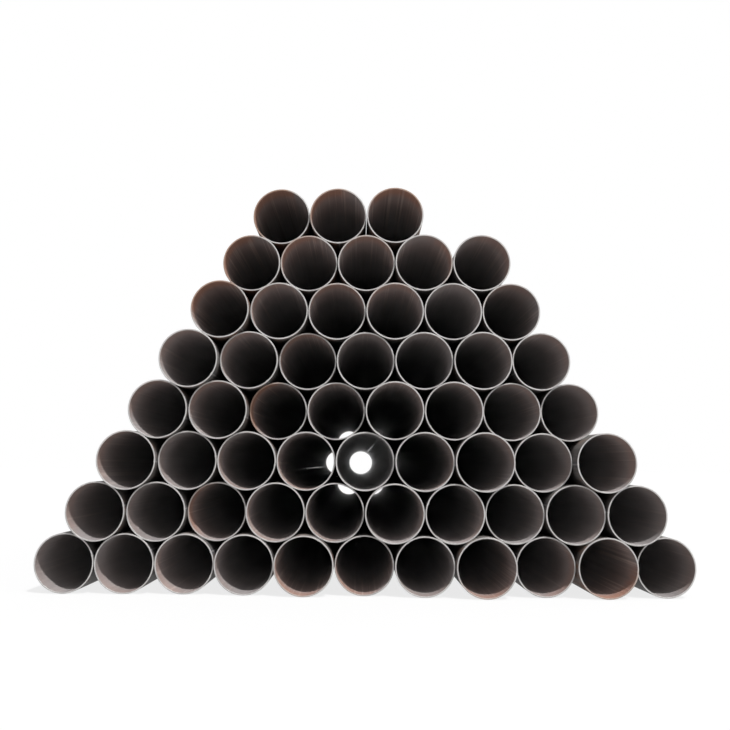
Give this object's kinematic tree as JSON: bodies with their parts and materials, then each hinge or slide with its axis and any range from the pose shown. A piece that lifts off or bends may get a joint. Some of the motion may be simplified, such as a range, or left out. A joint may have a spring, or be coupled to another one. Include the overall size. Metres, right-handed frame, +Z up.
{
  "type": "stack of steel pipes",
  "caption": "Free-standing stack of plain-ended welded steel pipes, nested row upon row into a flat-topped triangle, with unevenly set open ends.",
  "frame": {"origin": "on the floor, under the middle of the stack's box", "axes": "+X across the stack to the viewer's right, +Y along the pipes away from the mouths that the picture shows, +Z up"},
  "size_m": [3.0272, 6.16, 1.9264],
  "materials": {
    "bare_steel": "matte"
  },
  "bodies": {
    "root": {"pipe_row1_01": "bare_steel", "pipe_row1_02": "bare_steel", "pipe_row1_03": "bare_steel", "pipe_row1_04": "bare_steel", "pipe_row1_05": "bare_steel", "pipe_row1_06": "bare_steel", "pipe_row1_07": "bare_steel", "pipe_row1_08": "bare_steel", "pipe_row1_09": "bare_steel", "pipe_row1_10": "bare_steel", "pipe_row1_11": "bare_steel", "pipe_row2_01": "bare_steel", "pipe_row2_02": "bare_steel", "pipe_row2_03": "bare_steel", "pipe_row2_04": "bare_steel", "pipe_row2_05": "bare_steel", "pipe_row2_06": "bare_steel", "pipe_row2_07": "bare_steel", "pipe_row2_08": "bare_steel", "pipe_row2_09": "bare_steel", "pipe_row2_10": "bare_steel", "pipe_row3_01": "bare_steel", "pipe_row3_02": "bare_steel", "pipe_row3_03": "bare_steel", "pipe_row3_04": "bare_steel", "pipe_row3_05": "bare_steel", "pipe_row3_06": "bare_steel", "pipe_row3_07": "bare_steel", "pipe_row3_08": "bare_steel", "pipe_row3_09": "bare_steel", "pipe_row4_01": "bare_steel", "pipe_row4_02": "bare_steel", "pipe_row4_03": "bare_steel", "pipe_row4_04": "bare_steel", "pipe_row4_05": "bare_steel", "pipe_row4_06": "bare_steel", "pipe_row4_07": "bare_steel", "pipe_row4_08": "bare_steel", "pipe_row5_01": "bare_steel", "pipe_row5_02": "bare_steel", "pipe_row5_03": "bare_steel", "pipe_row5_04": "bare_steel", "pipe_row5_05": "bare_steel", "pipe_row5_06": "bare_steel", "pipe_row5_07": "bare_steel", "pipe_row6_01": "bare_steel", "pipe_row6_02": "bare_steel", "pipe_row6_03": "bare_steel", "pipe_row6_04": "bare_steel", "pipe_row6_05": "bare_steel", "pipe_row6_06": "bare_steel", "pipe_row7_01": "bare_steel", "pipe_row7_02": "bare_steel", "pipe_row7_03": "bare_steel", "pipe_row7_04": "bare_steel", "pipe_row7_05": "bare_steel", "pipe_row8_01": "bare_steel", "pipe_row8_02": "bare_steel", "pipe_row8_03": "bare_steel"}
  },
  "joints": []
}
